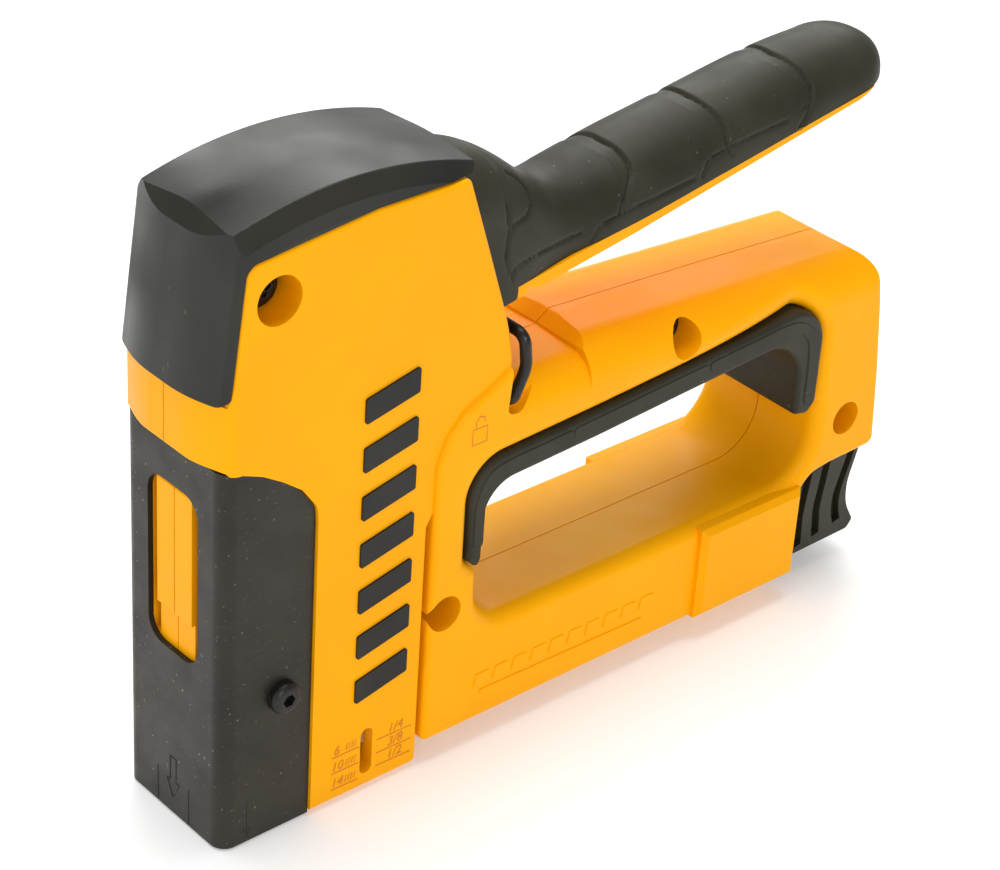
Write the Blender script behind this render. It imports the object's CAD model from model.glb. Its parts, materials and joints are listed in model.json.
"""Looks of the heavy-duty hand staple gun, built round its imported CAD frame."""

import json
import math

import bpy
import numpy as np
from mathutils import Matrix, Vector


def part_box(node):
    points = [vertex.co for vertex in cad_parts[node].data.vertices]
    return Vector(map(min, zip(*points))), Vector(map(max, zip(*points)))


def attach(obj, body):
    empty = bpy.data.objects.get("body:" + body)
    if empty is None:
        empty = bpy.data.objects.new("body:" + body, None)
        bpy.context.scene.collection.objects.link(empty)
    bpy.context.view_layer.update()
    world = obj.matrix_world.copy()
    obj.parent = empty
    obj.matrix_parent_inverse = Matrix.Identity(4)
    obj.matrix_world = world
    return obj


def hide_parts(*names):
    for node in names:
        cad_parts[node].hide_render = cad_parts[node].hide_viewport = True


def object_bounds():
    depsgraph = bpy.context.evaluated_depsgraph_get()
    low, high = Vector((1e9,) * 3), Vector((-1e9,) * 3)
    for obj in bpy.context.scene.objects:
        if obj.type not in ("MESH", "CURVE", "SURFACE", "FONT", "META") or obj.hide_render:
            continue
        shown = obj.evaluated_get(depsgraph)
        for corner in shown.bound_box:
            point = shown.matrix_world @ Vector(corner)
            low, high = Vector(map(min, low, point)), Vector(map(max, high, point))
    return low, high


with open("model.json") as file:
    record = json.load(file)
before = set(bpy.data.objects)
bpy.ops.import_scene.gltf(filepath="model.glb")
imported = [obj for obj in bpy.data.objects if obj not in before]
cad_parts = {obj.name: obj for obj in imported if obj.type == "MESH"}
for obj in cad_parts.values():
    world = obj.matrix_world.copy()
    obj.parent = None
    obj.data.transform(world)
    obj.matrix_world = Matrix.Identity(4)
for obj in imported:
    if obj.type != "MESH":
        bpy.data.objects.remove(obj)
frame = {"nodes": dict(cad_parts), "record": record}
cad_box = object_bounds()

MM = 0.001
scene = bpy.context.scene

# ---- half widths of the housing --------------------------------------------------------------
HEAD_SIDE = 17.0
BODY_SIDE = 18.2


# ---- materials -----------------------------------------------------------------------------
def new_material(name):
    """An empty node material with its shader and its object coordinates."""
    material = bpy.data.materials.new(name)
    material.use_nodes = True
    nodes = material.node_tree.nodes
    shader = nodes["Principled BSDF"]
    place = nodes.new("ShaderNodeTexCoord").outputs["Object"]
    return material, shader, place


def noise(material, place, scale, detail=4.0, roughness=0.5, stretch=(1, 1, 1)):
    """Noise in object space, at a scale per metre."""
    tree = material.node_tree
    mapping = tree.nodes.new("ShaderNodeMapping")
    mapping.inputs["Scale"].default_value = stretch
    tree.links.new(place, mapping.inputs["Vector"])
    texture = tree.nodes.new("ShaderNodeTexNoise")
    texture.inputs["Scale"].default_value = scale
    texture.inputs["Detail"].default_value = detail
    texture.inputs["Roughness"].default_value = roughness
    tree.links.new(mapping.outputs["Vector"], texture.inputs["Vector"])
    return texture.outputs["Fac"]


def ramp(material, value, *stops):
    """Colour ramp over a value; each stop is (position, colour)."""
    node = material.node_tree.nodes.new("ShaderNodeValToRGB")
    elements = node.color_ramp.elements
    while len(elements) < len(stops):
        elements.new(0.5)
    for element, (position, colour) in zip(elements, stops):
        element.position = position
        element.color = (*colour, 1.0)
    material.node_tree.links.new(value, node.inputs["Fac"])
    return node.outputs["Color"]


def spread(material, value, low, high):
    """Stretches a 0 to 1 value onto low to high."""
    node = material.node_tree.nodes.new("ShaderNodeMapRange")
    node.inputs["From Min"].default_value = 0.3
    node.inputs["From Max"].default_value = 0.7
    node.inputs["To Min"].default_value = low
    node.inputs["To Max"].default_value = high
    material.node_tree.links.new(value, node.inputs["Value"])
    return node.outputs["Result"]


def blend_colours(material, factor, first, second):
    node = material.node_tree.nodes.new("ShaderNodeMix")
    node.data_type = "RGBA"
    links = material.node_tree.links
    links.new(factor, node.inputs["Factor"])
    for source, socket in ((first, node.inputs["A"]), (second, node.inputs["B"])):
        if isinstance(source, tuple):
            socket.default_value = (*source, 1.0)
        else:
            links.new(source, socket)
    return node.outputs["Result"]


def bump(material, shader, height, strength, distance):
    node = material.node_tree.nodes.new("ShaderNodeBump")
    node.inputs["Strength"].default_value = strength
    node.inputs["Distance"].default_value = distance
    links = material.node_tree.links
    links.new(height, node.inputs["Height"])
    links.new(node.outputs["Normal"], shader.inputs["Normal"])


def link(material, output, socket):
    material.node_tree.links.new(output, socket)


def yellow_plastic(name, bright, shade, rough):
    material, shader, place = new_material(name)
    cloud = noise(material, place, 28.0, 3.0)
    link(material, ramp(material, cloud, (0.35, shade), (0.65, bright)), shader.inputs["Base Color"])
    patches = noise(material, place, 160.0)
    link(material, spread(material, patches, rough - 0.05, rough + 0.07), shader.inputs["Roughness"])
    bump(material, shader, noise(material, place, 2600.0, 2.0), 0.22, 0.00006)
    shader.inputs["Specular IOR Level"].default_value = 0.08
    return material


def black_rubber(name, base, light, rough, dust=0.35):
    """Soft overmould: warm black, cloudy sheen and pale dust specks."""
    material, shader, place = new_material(name)
    cloud = ramp(material, noise(material, place, 55.0, 5.0), (0.35, base), (0.7, light))
    grains = noise(material, place, 900.0, 2.0)
    specks = ramp(material, grains, (0.735, (0, 0, 0)), (0.78, (dust, dust, dust)))
    link(material, blend_colours(material, specks, cloud, (0.30, 0.29, 0.25)), shader.inputs["Base Color"])
    patches = noise(material, place, 90.0, 4.0)
    link(material, spread(material, patches, rough - 0.06, rough + 0.1), shader.inputs["Roughness"])
    bump(material, shader, noise(material, place, 3800.0, 3.0), 0.3, 0.00007)
    shader.inputs["Specular IOR Level"].default_value = 0.2
    return material


def worn_black(name, base, light, rough, metallic, stretch=(1, 1, 6)):
    """Blackened steel: brown-black, brushed along its height, with pale scuffs and pin specks."""
    material, shader, place = new_material(name)
    cloud = ramp(material, noise(material, place, 35.0, 6.0), (0.3, base), (0.72, light))
    strokes = noise(material, place, 420.0, 3.0, 0.6, stretch)
    brushed = ramp(material, strokes, (0.60, (0, 0, 0)), (0.86, (0.30, 0.30, 0.30)))
    grains = noise(material, place, 1100.0, 2.0)
    specks = ramp(material, grains, (0.70, (0, 0, 0)), (0.76, (0.75, 0.75, 0.75)))
    streaky = blend_colours(material, brushed, cloud, (0.13, 0.12, 0.10))
    link(material, blend_colours(material, specks, streaky, (0.24, 0.22, 0.18)), shader.inputs["Base Color"])
    patches = noise(material, place, 130.0, 5.0)
    link(material, spread(material, patches, rough - 0.06, rough + 0.12), shader.inputs["Roughness"])
    bump(material, shader, noise(material, place, 1500.0, 4.0), 0.18, 0.00005)
    shader.inputs["Metallic"].default_value = metallic
    shader.inputs["Specular IOR Level"].default_value = 0.3
    return material


def bumper_plastic(name):
    """Dark moulding, rubbed to a patchy gloss with pale scrapes."""
    material, shader, place = new_material(name)
    clouds = noise(material, place, 42.0, 5.0)
    cloud = ramp(material, clouds, (0.3, (0.014, 0.014, 0.011)), (0.72, (0.028, 0.027, 0.021)))
    scrapes = noise(material, place, 150.0, 7.0, 0.72, (1, 2.2, 1))
    marks = ramp(material, scrapes, (0.665, (0, 0, 0)), (0.71, (0.55, 0.55, 0.55)))
    link(material, blend_colours(material, marks, cloud, (0.20, 0.18, 0.13)), shader.inputs["Base Color"])
    patches = noise(material, place, 48.0, 2.0, 0.4)
    link(material, spread(material, patches, 0.2, 0.5), shader.inputs["Roughness"])
    bump(material, shader, noise(material, place, 1700.0, 3.0), 0.16, 0.00006)
    shader.inputs["Specular IOR Level"].default_value = 0.26
    return material


def bare_metal(name, base, rough, stretch=(1, 1, 1)):
    material, shader, place = new_material(name)
    darker = tuple(0.72 * channel for channel in base)
    grain = noise(material, place, 500.0, 4.0, 0.6, stretch)
    link(material, ramp(material, grain, (0.3, darker), (0.7, base)), shader.inputs["Base Color"])
    patches = noise(material, place, 120.0)
    link(material, spread(material, patches, rough - 0.05, rough + 0.1), shader.inputs["Roughness"])
    bump(material, shader, grain, 0.12, 0.00004)
    shader.inputs["Metallic"].default_value = 1.0
    return material


MATERIALS = {
    "housing": yellow_plastic("housing", (1.0, 0.430, 0.0), (0.97, 0.400, 0.0), 0.34),
    "lever_plastic": yellow_plastic("lever_plastic", (1.0, 0.420, 0.0), (0.96, 0.385, 0.0), 0.38),
    "black_rubber": black_rubber("black_rubber", (0.022, 0.021, 0.012), (0.036, 0.034, 0.021), 0.46),
    "bumper_rubber": bumper_plastic("bumper_rubber"),
    "black_steel": worn_black("black_steel", (0.014, 0.013, 0.009), (0.030, 0.027, 0.018), 0.40, 0.12),
    "black_hardware": worn_black(
        "black_hardware", (0.020, 0.020, 0.019), (0.045, 0.044, 0.041), 0.32, 0.7, (1, 1, 1)
    ),
    "steel": bare_metal("steel", (0.60, 0.59, 0.57), 0.30, (1, 1, 8)),
    "spring_steel": bare_metal("spring_steel", (0.42, 0.41, 0.40), 0.28),
    "staple_steel": bare_metal("staple_steel", (0.68, 0.68, 0.67), 0.26, (12, 1, 1)),
    "brass_bush": bare_metal("brass_bush", (0.66, 0.47, 0.20), 0.36),
    "badge_black": black_rubber("badge_black", (0.014, 0.015, 0.013), (0.022, 0.022, 0.019), 0.42, 0.1),
}


def paint(piece, slot):
    piece.data.materials.clear()
    piece.data.materials.append(MATERIALS[slot])


def dress_frame():
    """Every CAD node takes the material of its record slot, shaded smooth up to its sharp edges."""
    for entry in frame["record"]["subparts"]:
        node = frame["nodes"][entry["node"]]
        paint(node, entry["material_slot"])
        for face in node.data.polygons:
            face.use_smooth = True
        split = node.modifiers.new("sharp_edges", "EDGE_SPLIT")
        split.split_angle = math.radians(28.0)


dress_frame()


# ---- mesh helpers --------------------------------------------------------------------------
def curve_through(knots, x):
    """Smooth value at x of a curve through (x, value) knots."""
    xs = np.array([knot[0] for knot in knots], float)
    ys = np.array([knot[1] for knot in knots], float)
    slopes = np.gradient(ys, xs)
    x = np.clip(x, xs[0], xs[-1])
    i = np.clip(np.searchsorted(xs, x) - 1, 0, len(xs) - 2)
    span = xs[i + 1] - xs[i]
    t = (x - xs[i]) / span
    return (
        (2 * t**3 - 3 * t**2 + 1) * ys[i]
        + (t**3 - 2 * t**2 + t) * span * slopes[i]
        + (3 * t**2 - 2 * t**3) * ys[i + 1]
        + (t**3 - t**2) * span * slopes[i + 1]
    )


def mesh_piece(name, vertices, faces, body, slot, smooth=True):
    """A finished mesh, given in millimetres, riding a body."""
    mesh = bpy.data.meshes.new(name)
    mesh.from_pydata([tuple(float(c) * MM for c in vertex) for vertex in vertices], [], faces)
    mesh.update()
    if smooth:
        for face in mesh.polygons:
            face.use_smooth = True
    piece = bpy.data.objects.new(name, mesh)
    scene.collection.objects.link(piece)
    paint(piece, slot)
    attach(piece, body)
    return piece


def skin(rings):
    """Faces between equal closed rings, with both ends capped by fans."""
    count = len(rings[0])
    vertices = [point for ring in rings for point in ring]
    faces = []
    for i in range(len(rings) - 1):
        for j in range(count):
            k = (j + 1) % count
            faces.append((i * count + j, i * count + k, (i + 1) * count + k, (i + 1) * count + j))
    for end, ring in ((0, rings[0]), (len(rings) - 1, rings[-1])):
        middle = len(vertices)
        vertices.append(np.mean(np.array(ring), axis=0))
        for j in range(count):
            k = (j + 1) % count
            corner = (end * count + k, end * count + j) if end == 0 else (end * count + j, end * count + k)
            faces.append((*corner, middle))
    return vertices, faces


def dense(points, step=0.6):
    """Points along a smooth curve through a few given ones."""
    points = [np.array(point, float) for point in points]
    padded = [2 * points[0] - points[1], *points, 2 * points[-1] - points[-2]]
    out = []
    for a, b, c, d in zip(padded, padded[1:], padded[2:], padded[3:]):
        pieces = max(2, int(np.linalg.norm(c - b) / step))
        for k in range(pieces):
            t = k / pieces
            bend = (2 * a - 5 * b + 4 * c - d) * t**2 + (3 * b - a - 3 * c + d) * t**3
            out.append(0.5 * (2 * b + (c - a) * t + bend))
    out.append(points[-1])
    return np.array(out)


def gap_to(points, line):
    """Distance from each point to a line of close points."""
    best = np.full(len(points), 1e9)
    for spot in line:
        best = np.minimum(best, ((points - spot) ** 2).sum(1))
    return np.sqrt(best)


# ---- lever grip ----------------------------------------------------------------------------
TIP_X = 170.0
TIP_R = 12.8
GRIP_TOP = [
    (38, 130.0), (45, 134.6), (51, 135.9), (57, 134.9), (62, 134.0), (66, 132.8), (71, 130.5), (75, 128.0),
    (80.5, 123.8), (84.7, 120.8), (87.8, 120.1), (91, 120.3), (95, 121.0), (103, 122.3), (112, 123.9),
    (123.5, 125.7), (137, 128.0), (150, 130.0), (160, 130.9), (170, 131.2),
]
CREST = 12.6
FINGER_LINES = [
    [(100.0, 15), (101.2, 24), (103.2, 36), (104.9, 48), (105.4, 68), (105.0, 90)],
    [(130.6, 15), (129.9, 24), (130.4, 36), (130.2, 48), (129.4, 70), (128.8, 90)],
    [(151.0, 2), (153.6, 14), (155.0, 30), (154.9, 47), (153.9, 70), (153.0, 90)],
]
SIDE_LINES = [
    [(71.2, 2.4), (71.3, 3.6), (72.8, 4.8), (78.0, 4.9), (90.0, 3.6)],
    [(92.6, 0.8), (93.4, 1.9), (95.8, 3.4), (104.5, 3.4), (119.8, 2.6)],
    [(122.2, 2.2), (123.2, 3.6), (125.6, 4.8), (135.0, 4.6), (146.8, 3.7)],
]
REAR_ROUND = [(69.3, 15), (69.5, 40), (69.8, 62), (70.0, 90)]
CHEEK = [
    (72.2, 127.6), (74.6, 125.8), (76.3, 123.4), (76.0, 121.0), (73.6, 119.4),
    (70.1, 118.2), (69.5, 115.0), (69.4, 111.2), (70.2, 109.2),
]
GRIP_HALF = [
    (38, 12.8), (70, 13.0), (76, 12.9), (82, 12.4), (88, 12.2),
    (94, 12.7), (100, 13.1), (130, 13.2), (170, 12.8),
]
SIDE_POINTS = 18
DOME_POINTS = 96


def grip_seam(x):
    """Height of the line between the grip and the yellow core under it."""
    return 104.3 + (x - 72.6) * 0.172 + 0.00005 * (x - 72.6) ** 2


def grip_ring(x, half, top, base):
    """Closed section at x: straight sides, a full dome above them and a flat floor."""
    crest = min(CREST, top - base)
    shoulder = top - crest
    ring = []
    for k in range(SIDE_POINTS):
        ring.append((x, -half, base + (shoulder - base) * k / SIDE_POINTS))
    for k in range(DOME_POINTS + 1):
        turn = math.pi * k / DOME_POINTS
        across = -math.copysign(abs(math.cos(turn)) ** (2 / 2.35), math.cos(turn))
        ring.append((x, half * across, shoulder + crest * abs(math.sin(turn)) ** (2 / 2.2)))
    for k in reversed(range(SIDE_POINTS)):
        ring.append((x, half, base + (shoulder - base) * k / SIDE_POINTS))
    return ring


def grip_base(x):
    """Height of the grip's underside: the seam, dropping 2.7 mm in front of the lever's cheek."""
    if x >= 73.4:
        return grip_seam(x)
    return grip_seam(x) - 2.7 * min(1.0, (73.4 - x) / 0.8)


def on_dome(x, turn):
    """Point of the grip's left half at x: turn runs from 0 at the shoulder to 90 degrees on top."""
    top = float(curve_through(GRIP_TOP, x))
    crest = min(CREST, top - grip_base(x))
    across = math.cos(math.radians(turn)) ** (2 / 2.35)
    lift = math.sin(math.radians(turn)) ** (2 / 2.2)
    return (x, -float(curve_through(GRIP_HALF, x)) * across, top - crest + crest * lift)


def on_flank(x, z):
    """Point of the grip's left side at x and height z."""
    top = float(curve_through(GRIP_TOP, x))
    crest = min(CREST, top - grip_base(x))
    share = min(1.0, max(0.0, (z - top + crest) / crest))
    return (x, -float(curve_through(GRIP_HALF, x)) * (1 - share**2.2) ** (1 / 2.35), z)


def carve_grip(points, outward, turns):
    """Pushes the grip's surface in along its finger grooves, side lines and cheek edge."""
    points = np.array(points)
    depth = np.zeros(len(points))
    left = points * np.where(points[:, 1:2] > 0, (1, -1, 1), (1, 1, 1))

    def cut(line, width, deep):
        near = gap_to(left, line)
        np.maximum(depth, deep * np.exp(-((near / width) ** 2)), out=depth)

    for line in FINGER_LINES:
        spine = dense(line, 1.0)
        cut(np.array([on_dome(x, min(turn, 90.0)) for x, turn in spine]), 0.52, 0.8)
        reach = np.interp(turns, spine[:, 1], spine[:, 0])
        before = reach - points[:, 0]
        dip = np.clip(1 - before / 3.4, 0, 1) * (before > 0) * (turns > line[1][1] + 4)
        np.maximum(depth, 0.38 * dip**0.6, out=depth)
    for line in SIDE_LINES:
        cut(np.array([on_flank(x, grip_seam(x) + h) for x, h in dense(line, 0.8)]), 0.36, 0.6)
    cut(np.array([on_dome(x, min(turn, 90.0)) for x, turn in dense(REAR_ROUND, 2.0)]), 0.5, 0.9)
    cut(np.array([on_flank(69.4, z) for z in np.arange(119.6, 122.0, 0.6)]), 0.5, 0.9)
    cut(np.array([on_flank(x, z) for x, z in dense(CHEEK, 0.8)]), 0.42, 0.7)
    return points - np.array(outward) * depth[:, None]


def build_grip():
    """The whole soft overmould, with a rounded tip, in place of its plain CAD form."""
    rings = []
    for x in np.concatenate([np.arange(40.0, 64.0, 1.5), np.arange(64.0, TIP_X, 0.3)]):
        half = float(curve_through(GRIP_HALF, x))
        rings.append(grip_ring(x, half, float(curve_through(GRIP_TOP, x)), grip_base(x)))
    top_rise = float(curve_through(GRIP_TOP, TIP_X)) - grip_seam(TIP_X)
    for turn in np.arange(0.0, 89.0, 2.6):
        along = math.sin(math.radians(turn))
        shrink = math.cos(math.radians(turn))
        x = TIP_X + TIP_R * along
        top = grip_seam(x) + top_rise * shrink**0.85 - 0.4 * along
        rings.append(grip_ring(x, TIP_R * shrink, top, grip_seam(x)))
    vertices, faces = skin(rings)
    faces = [face[::-1] for face in faces]
    half_turns = [180.0 * min(k, DOME_POINTS - k) / DOME_POINTS for k in range(DOME_POINTS + 1)]
    off_dome = [-1.0] * SIDE_POINTS
    turns = np.array((off_dome + half_turns + off_dome) * len(rings) + [-1.0, -1.0])
    draft = bpy.data.meshes.new("draft")
    draft.from_pydata([tuple(map(float, vertex)) for vertex in vertices], [], faces)
    draft.update()
    outward = [vertex.normal for vertex in draft.vertices]
    floor = np.array([n.z < -0.5 for n in outward])
    carved = carve_grip(vertices, outward, turns)
    carved[floor] = np.array(vertices)[floor]
    bpy.data.meshes.remove(draft)
    grip = mesh_piece("grip", carved, faces, "lever", "black_rubber")
    split = grip.modifiers.new("sharp_edges", "EDGE_SPLIT")
    split.split_angle = math.radians(50.0)
    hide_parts("lever_grip")
    return grip


build_grip()


# ---- flat raised detail --------------------------------------------------------------------
def plate(name, corners, side, floor, proud, body, material, slot, edge=0.12):
    """Raised plate with a bevelled rim: corners are (x, z), floor is its distance from the middle."""
    corners = np.array(corners, float)
    area = np.sum(corners[:, 0] * np.roll(corners[:, 1], -1) - np.roll(corners[:, 0], -1) * corners[:, 1])
    if area < 0:
        corners = corners[::-1]
    ahead = np.roll(corners, -1, axis=0) - corners
    ahead /= np.linalg.norm(ahead, axis=1)[:, None]
    back = np.roll(ahead, 1, axis=0)
    inward = np.stack([-(ahead[:, 1] + back[:, 1]), ahead[:, 0] + back[:, 0]], axis=1)
    inward /= np.maximum(np.linalg.norm(inward, axis=1), 1e-6)[:, None]
    levels = ((0.0, floor), (0.0, floor + proud - edge), (edge, floor + proud))
    vertices = []
    for inset, height in levels:
        for x, z in corners + inward * inset:
            vertices.append((x, side * height, z))
    count = len(corners)
    faces = []
    for level in range(2):
        for j in range(count):
            k = (j + 1) % count
            quad = (level * count + j, level * count + k, (level + 1) * count + k, (level + 1) * count + j)
            faces.append(quad if side < 0 else quad[::-1])
    lid = tuple(range(2 * count, 3 * count))
    base = tuple(reversed(range(count)))
    faces += [lid, base] if side < 0 else [lid[::-1], base[::-1]]
    piece = mesh_piece(name, vertices, faces, body, slot, smooth=False)
    piece.data.materials[0] = material
    return piece


def ribbon(line, half):
    """Outline of a band with round ends that follows a line of (x, z) points."""
    line = np.array(line, float)
    ahead = np.gradient(line, axis=0)
    ahead /= np.linalg.norm(ahead, axis=1)[:, None]
    aside = np.stack([-ahead[:, 1], ahead[:, 0]], axis=1)
    turns = [math.radians(turn) for turn in (30, 60, 90, 120, 150)]
    out = list(line + aside * half)
    out += [line[-1] + half * (aside[-1] * math.cos(t) + ahead[-1] * math.sin(t)) for t in turns]
    out += list((line - aside * half)[::-1])
    out += [line[0] - half * (aside[0] * math.cos(t) + ahead[0] * math.sin(t)) for t in turns]
    return out


def line_piece(name, points, radius, body, material, closed=False):
    """Fine line laid on a surface."""
    curve = bpy.data.curves.new(name, "CURVE")
    curve.dimensions = "3D"
    curve.bevel_depth = radius * MM
    curve.bevel_resolution = 1
    spline = curve.splines.new("POLY")
    spline.points.add(len(points) - 1)
    for spot, point in zip(spline.points, points):
        spot.co = (*(float(c) * MM for c in point), 1.0)
    spline.use_cyclic_u = closed
    piece = bpy.data.objects.new(name, curve)
    scene.collection.objects.link(piece)
    curve.materials.append(material)
    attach(piece, body)
    return piece


def build_insert_bars():
    """Raised bars on both flanks of the rubber insert, with a gap between each two."""
    low, high = (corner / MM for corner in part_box("grip_insert"))
    edge = low.x + 2.3
    front = [
        (edge, 51.0), (edge, 56.0), (edge + 0.4, 61.5),
        (65.2, 66.0), (70.5, 67.2), (78.0, 67.6), (85.5, 68.1),
    ]
    middle = [(88.0, 68.3), (106.0, 69.5), (124.4, 70.8)]
    rear = [
        (127.0, 71.0), (140.0, 71.9), (149.5, 72.5),
        (154.6, 71.2), (157.8, 67.6), (158.7, 62.0), (158.9, 52.0),
    ]
    rubber = MATERIALS["black_rubber"]
    floor = high.y - 0.25
    for number, line in enumerate((front, middle, rear), 1):
        for word, side in (("left", -1), ("right", 1)):
            band = ribbon(dense(line, 1.2), 1.35)
            name = f"insert_bar_{number}_{word}"
            plate(name, band, side, floor, 0.5, "frame", rubber, "black_rubber", 0.2)


def raised_number(name, text, x, z, height, material, lean=0.22):
    """Moulded gauge number on the left cheek."""
    letters = bpy.data.curves.new(name, "FONT")
    letters.body = text
    letters.size = height * 1.38 * MM
    letters.shear = lean
    letters.extrude = 0.09 * MM
    letters.offset = -0.00003
    piece = bpy.data.objects.new(name, letters)
    piece.location = (x * MM, -(HEAD_SIDE + 0.03) * MM, z * MM)
    piece.rotation_euler = (math.radians(90), 0, 0)
    scene.collection.objects.link(piece)
    letters.materials.append(material)
    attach(piece, "frame")


def build_gauge(mark):
    """Staple-length gauge beside the slot in the left cheek, with plain ticks in place of unit letters."""
    metric = (("6", 11.6), ("10", 7.55), ("14", 3.4))
    inch = (("1/4", 11.1), ("3/8", 7.7), ("1/2", 4.4))
    cheek = -(HEAD_SIDE + 0.02)
    for text, level in metric:
        raised_number(f"gauge_{text}", text, 26.9 if len(text) == 1 else 26.4, level + 0.5, 2.3, mark)
        rule = [(26.6, cheek, level), (33.6, cheek, level - 0.1)]
        line_piece(f"gauge_line_{text}", rule, 0.13, "frame", mark)
        for tick in range(4):
            x = 30.2 + 0.75 * tick
            ends = [(x, cheek, level + 0.6), (x + 0.35, cheek, level + 2.3)]
            line_piece(f"gauge_tick_{text}_{tick}", ends, 0.12, "frame", mark)
    for text, level in inch:
        name = text.replace("/", "_")
        raised_number(f"gauge_{name}", text, 41.0, level + 0.5, 2.3, mark)
        rule = [(38.3, cheek, level), (47.4, cheek, level - 0.2)]
        line_piece(f"gauge_line_{name}", rule, 0.13, "frame", mark)
    window = [
        (34.1, 9.4), (35.6, 10.2), (37.0, 9.6), (37.0, 13.8),
        (36.5, 14.8), (35.55, 15.2), (34.6, 14.8), (34.1, 13.8),
    ]
    plate("gauge_window", window, -1, 13.9, 0.9, "frame", MATERIALS["staple_steel"], "staple_steel", 0.2)


def build_foot_marks(engraved):
    """Aiming marks on the steel nose, as fine dark lines laid on it: an arrow and the crown's width in
    front, and an arrow on each side."""
    face_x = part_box("nose_plate")[0].x / MM - 0.01
    arrow = [(1.0, 14.0), (1.0, 8.0), (2.1, 8.0), (0.0, 3.9), (-2.1, 8.0), (-1.0, 8.0), (-1.0, 14.0)]
    line_piece("foot_arrow", [(face_x, y, z) for y, z in arrow], 0.13, "frame", engraved, True)
    for word, side in (("left", -1), ("right", 1)):
        ends = [(face_x, side * 5.3, 0.2), (face_x, side * 5.3, 9.0)]
        line_piece(f"foot_crown_{word}", ends, 0.12, "frame", engraved)
        flank = side * (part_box("nose_plate")[1].y / MM + 0.01)
        shaft = [(5.9, flank, 1.0), (5.9, flank, 10.0)]
        line_piece(f"foot_side_line_{word}", shaft, 0.1, "frame", engraved)
        barb = [(5.0, flank, 3.4), (5.9, flank, 1.2), (6.8, flank, 3.4)]
        line_piece(f"foot_side_arrow_{word}", barb, 0.1, "frame", engraved)


# Middle (x, z) and rim radius of each screw head, and its turned profile from the floor up.
WELL_SCREWS = [(11.0, 122.4, 4.7), (54.1, 36.8, 3.8), (118.4, 79.6, 3.8), (172.9, 42.1, 3.8)]
SOCKET_R = 2.4


def build_well_screws():
    """Domed six-lobe screw heads, seen at the bottom of the four wells."""
    for number, (x, z, rim) in enumerate(WELL_SCREWS, 1):
        profile = [(rim, -7.9), (rim, -9.9), (rim - 0.7, -10.9)]
        profile += [(2.3, -11.4), (2.0, -11.3), (1.9, -9.4), (0.1, -9.3)]
        rings = []
        for radius, y in profile:
            ring = []
            for k in range(48):
                angle = 2 * math.pi * k / 48
                lobe = 1.0 if radius > SOCKET_R else 1.0 + 0.14 * math.cos(6 * angle)
                reach = radius * lobe
                ring.append((x + reach * math.cos(angle), y, z + reach * math.sin(angle)))
            rings.append(ring)
        vertices, faces = skin(rings)
        head = mesh_piece(f"well_screw_{number}", vertices, faces, "frame", "black_hardware")
        head.modifiers.new("sharp_edges", "EDGE_SPLIT").split_angle = math.radians(35.0)


def build_lock_sign(mark):
    """Small open-padlock pictogram by the wire lock, as fine lines laid on both sides."""
    body = [(58.6, 75.4), (62.4, 75.4), (62.4, 79.0), (58.6, 79.0)]
    bow = [(59.4, 79.2), (59.3, 80.6), (60.3, 81.7), (61.5, 81.2), (61.7, 80.2)]
    for word, side in (("left", -1), ("right", 1)):
        flank = side * (BODY_SIDE + 0.02)
        case = [(x, flank, z) for x, z in body]
        line_piece(f"lock_sign_body_{word}", case, 0.13, "frame", mark, True)
        shackle = [(x, flank, z) for x, z in bow]
        line_piece(f"lock_sign_bow_{word}", shackle, 0.13, "frame", mark)


def build_plain_relief():
    """Plain raised relief where the tool carries wording: slanted blocks and a rule."""
    yellow = MATERIALS["housing"]
    for word, side in (("left", -1), ("right", 1)):
        for step in range(10):
            x = 63.0 + 5.3 * step
            block = [(x, 14.4), (x + 3.4, 14.4), (x + 4.2, 17.4), (x + 0.8, 17.4)]
            name = f"relief_block_{step}_{word}"
            plate(name, block, side, BODY_SIDE - 0.05, 0.32, "frame", yellow, "housing")
        rule = [(65.0, 12.2), (110.0, 11.2), (112.0, 12.0), (65.0, 13.0)]
        plate(f"relief_rule_{word}", rule, side, BODY_SIDE - 0.05, 0.3, "frame", yellow, "housing")


def mark_material(name, colour, rough):
    """Slightly cloudy colour for fine marks."""
    material, shader, place = new_material(name)
    pale = tuple(1.25 * channel for channel in colour)
    cloud = ramp(material, noise(material, place, 240.0), (0.3, colour), (0.7, pale))
    link(material, cloud, shader.inputs["Base Color"])
    shader.inputs["Roughness"].default_value = rough
    return material


MOULDED = mark_material("moulded_mark", (0.62, 0.20, 0.001), 0.45)
ENGRAVED = mark_material("engraved_mark", (0.008, 0.007, 0.006), 0.5)
build_well_screws()
build_insert_bars()
build_gauge(MOULDED)
build_foot_marks(ENGRAVED)
build_lock_sign(MOULDED)
build_plain_relief()


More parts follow.
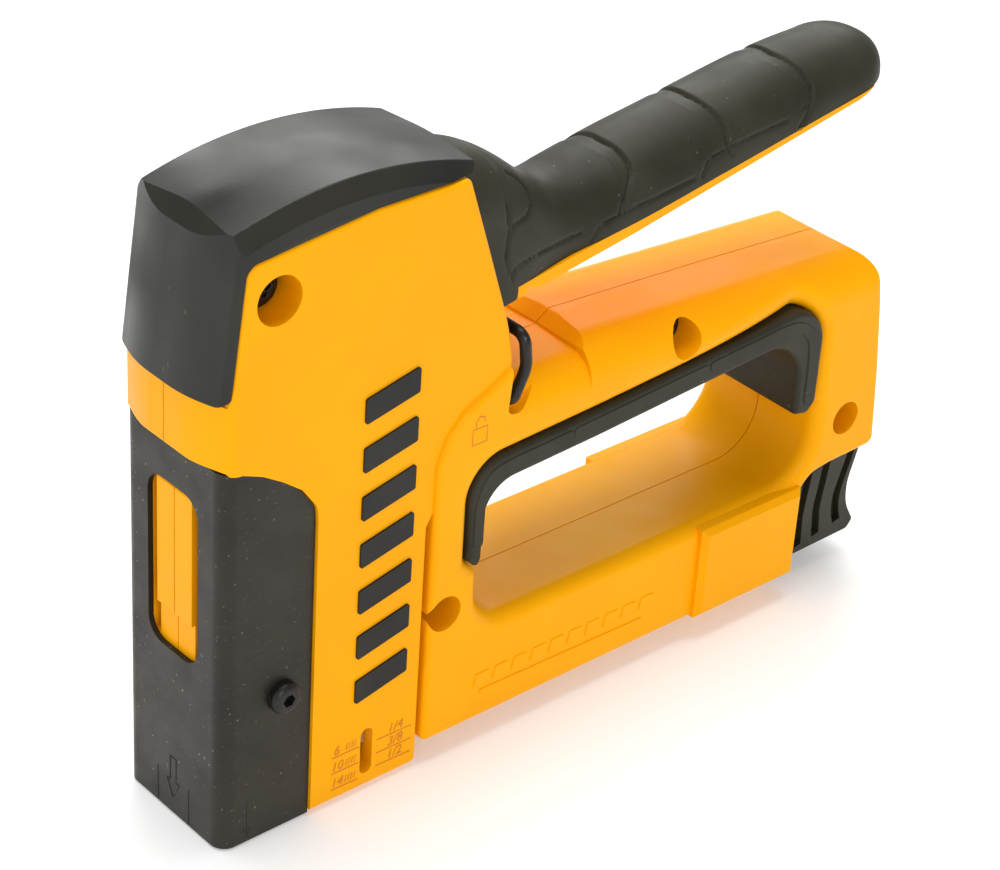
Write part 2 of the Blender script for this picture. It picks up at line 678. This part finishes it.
# ---- studio --------------------------------------------------------------------------------
def build_floor():
    """Plain pale floor just under the foot."""
    material, shader, place = new_material("floor")
    cloud = ramp(material, noise(material, place, 3.0), (0.3, (0.86, 0.86, 0.86)), (0.7, (0.9, 0.9, 0.9)))
    link(material, cloud, shader.inputs["Base Color"])
    shader.inputs["Roughness"].default_value = 0.9
    shader.inputs["Emission Color"].default_value = (1.0, 1.0, 1.0, 1.0)
    shader.inputs["Emission Strength"].default_value = 0.22
    mesh = bpy.data.meshes.new("floor")
    size = 6.0
    level = cad_box[0].z - 0.0005
    corners = [(-size, -size, level), (size, -size, level), (size, size, level), (-size, size, level)]
    mesh.from_pydata(corners, [], [(0, 1, 2, 3)])
    floor = bpy.data.objects.new("floor", mesh)
    floor.data.materials.append(material)
    scene.collection.objects.link(floor)


def soft_light(name, place, size, watts, colour=(1, 1, 1)):
    light = bpy.data.lights.new(name, "AREA")
    light.shape = "RECTANGLE"
    light.size, light.size_y = size
    light.energy = watts
    light.color = colour
    lamp = bpy.data.objects.new(name, light)
    target = Vector((0.08, 0.0, 0.07))
    lamp.location = place
    lamp.rotation_mode = "QUATERNION"
    lamp.rotation_quaternion = (target - Vector(place)).to_track_quat("-Z", "Y")
    scene.collection.objects.link(lamp)


def build_light():
    world = bpy.data.worlds.new("studio")
    world.use_nodes = True
    world.node_tree.nodes["Background"].inputs["Color"].default_value = (1.0, 1.0, 1.0, 1.0)
    world.node_tree.nodes["Background"].inputs["Strength"].default_value = 0.42
    scene.world = world
    soft_light("top", (0.12, 0.15, 1.1), (0.9, 0.7), 9.0)
    soft_light("left", (-0.35, -1.05, 0.55), (0.7, 0.7), 4.6)
    soft_light("front", (-1.05, 0.1, 0.4), (0.5, 0.8), 2.0)
    soft_light("back", (0.75, 0.85, 0.75), (0.9, 0.6), 6.0)
    scene.view_settings.view_transform = "Standard"


def build_camera():
    azimuth, elevation, roll = (math.radians(angle) for angle in (-42.99, 31.19, 3.95))
    right = Vector((math.cos(azimuth), math.sin(azimuth), 0))
    ahead = Vector((
        -math.sin(azimuth) * math.cos(elevation),
        math.cos(azimuth) * math.cos(elevation),
        -math.sin(elevation),
    ))
    up = right.cross(ahead)
    tilted_right = math.cos(roll) * right + math.sin(roll) * up
    tilted_up = -math.sin(roll) * right + math.cos(roll) * up
    camera_data = bpy.data.cameras.new("camera")
    camera_data.sensor_fit = "HORIZONTAL"
    camera_data.sensor_width = 36.0
    camera_data.lens = 99.92
    camera_data.clip_start = 0.01
    camera = bpy.data.objects.new("camera", camera_data)
    turn = Matrix((tilted_right, tilted_up, -ahead)).transposed()
    camera.matrix_world = Matrix.Translation((-0.25668, -0.36423, 0.36182)) @ turn.to_4x4()
    scene.collection.objects.link(camera)
    scene.camera = camera


build_floor()
build_light()
build_camera()
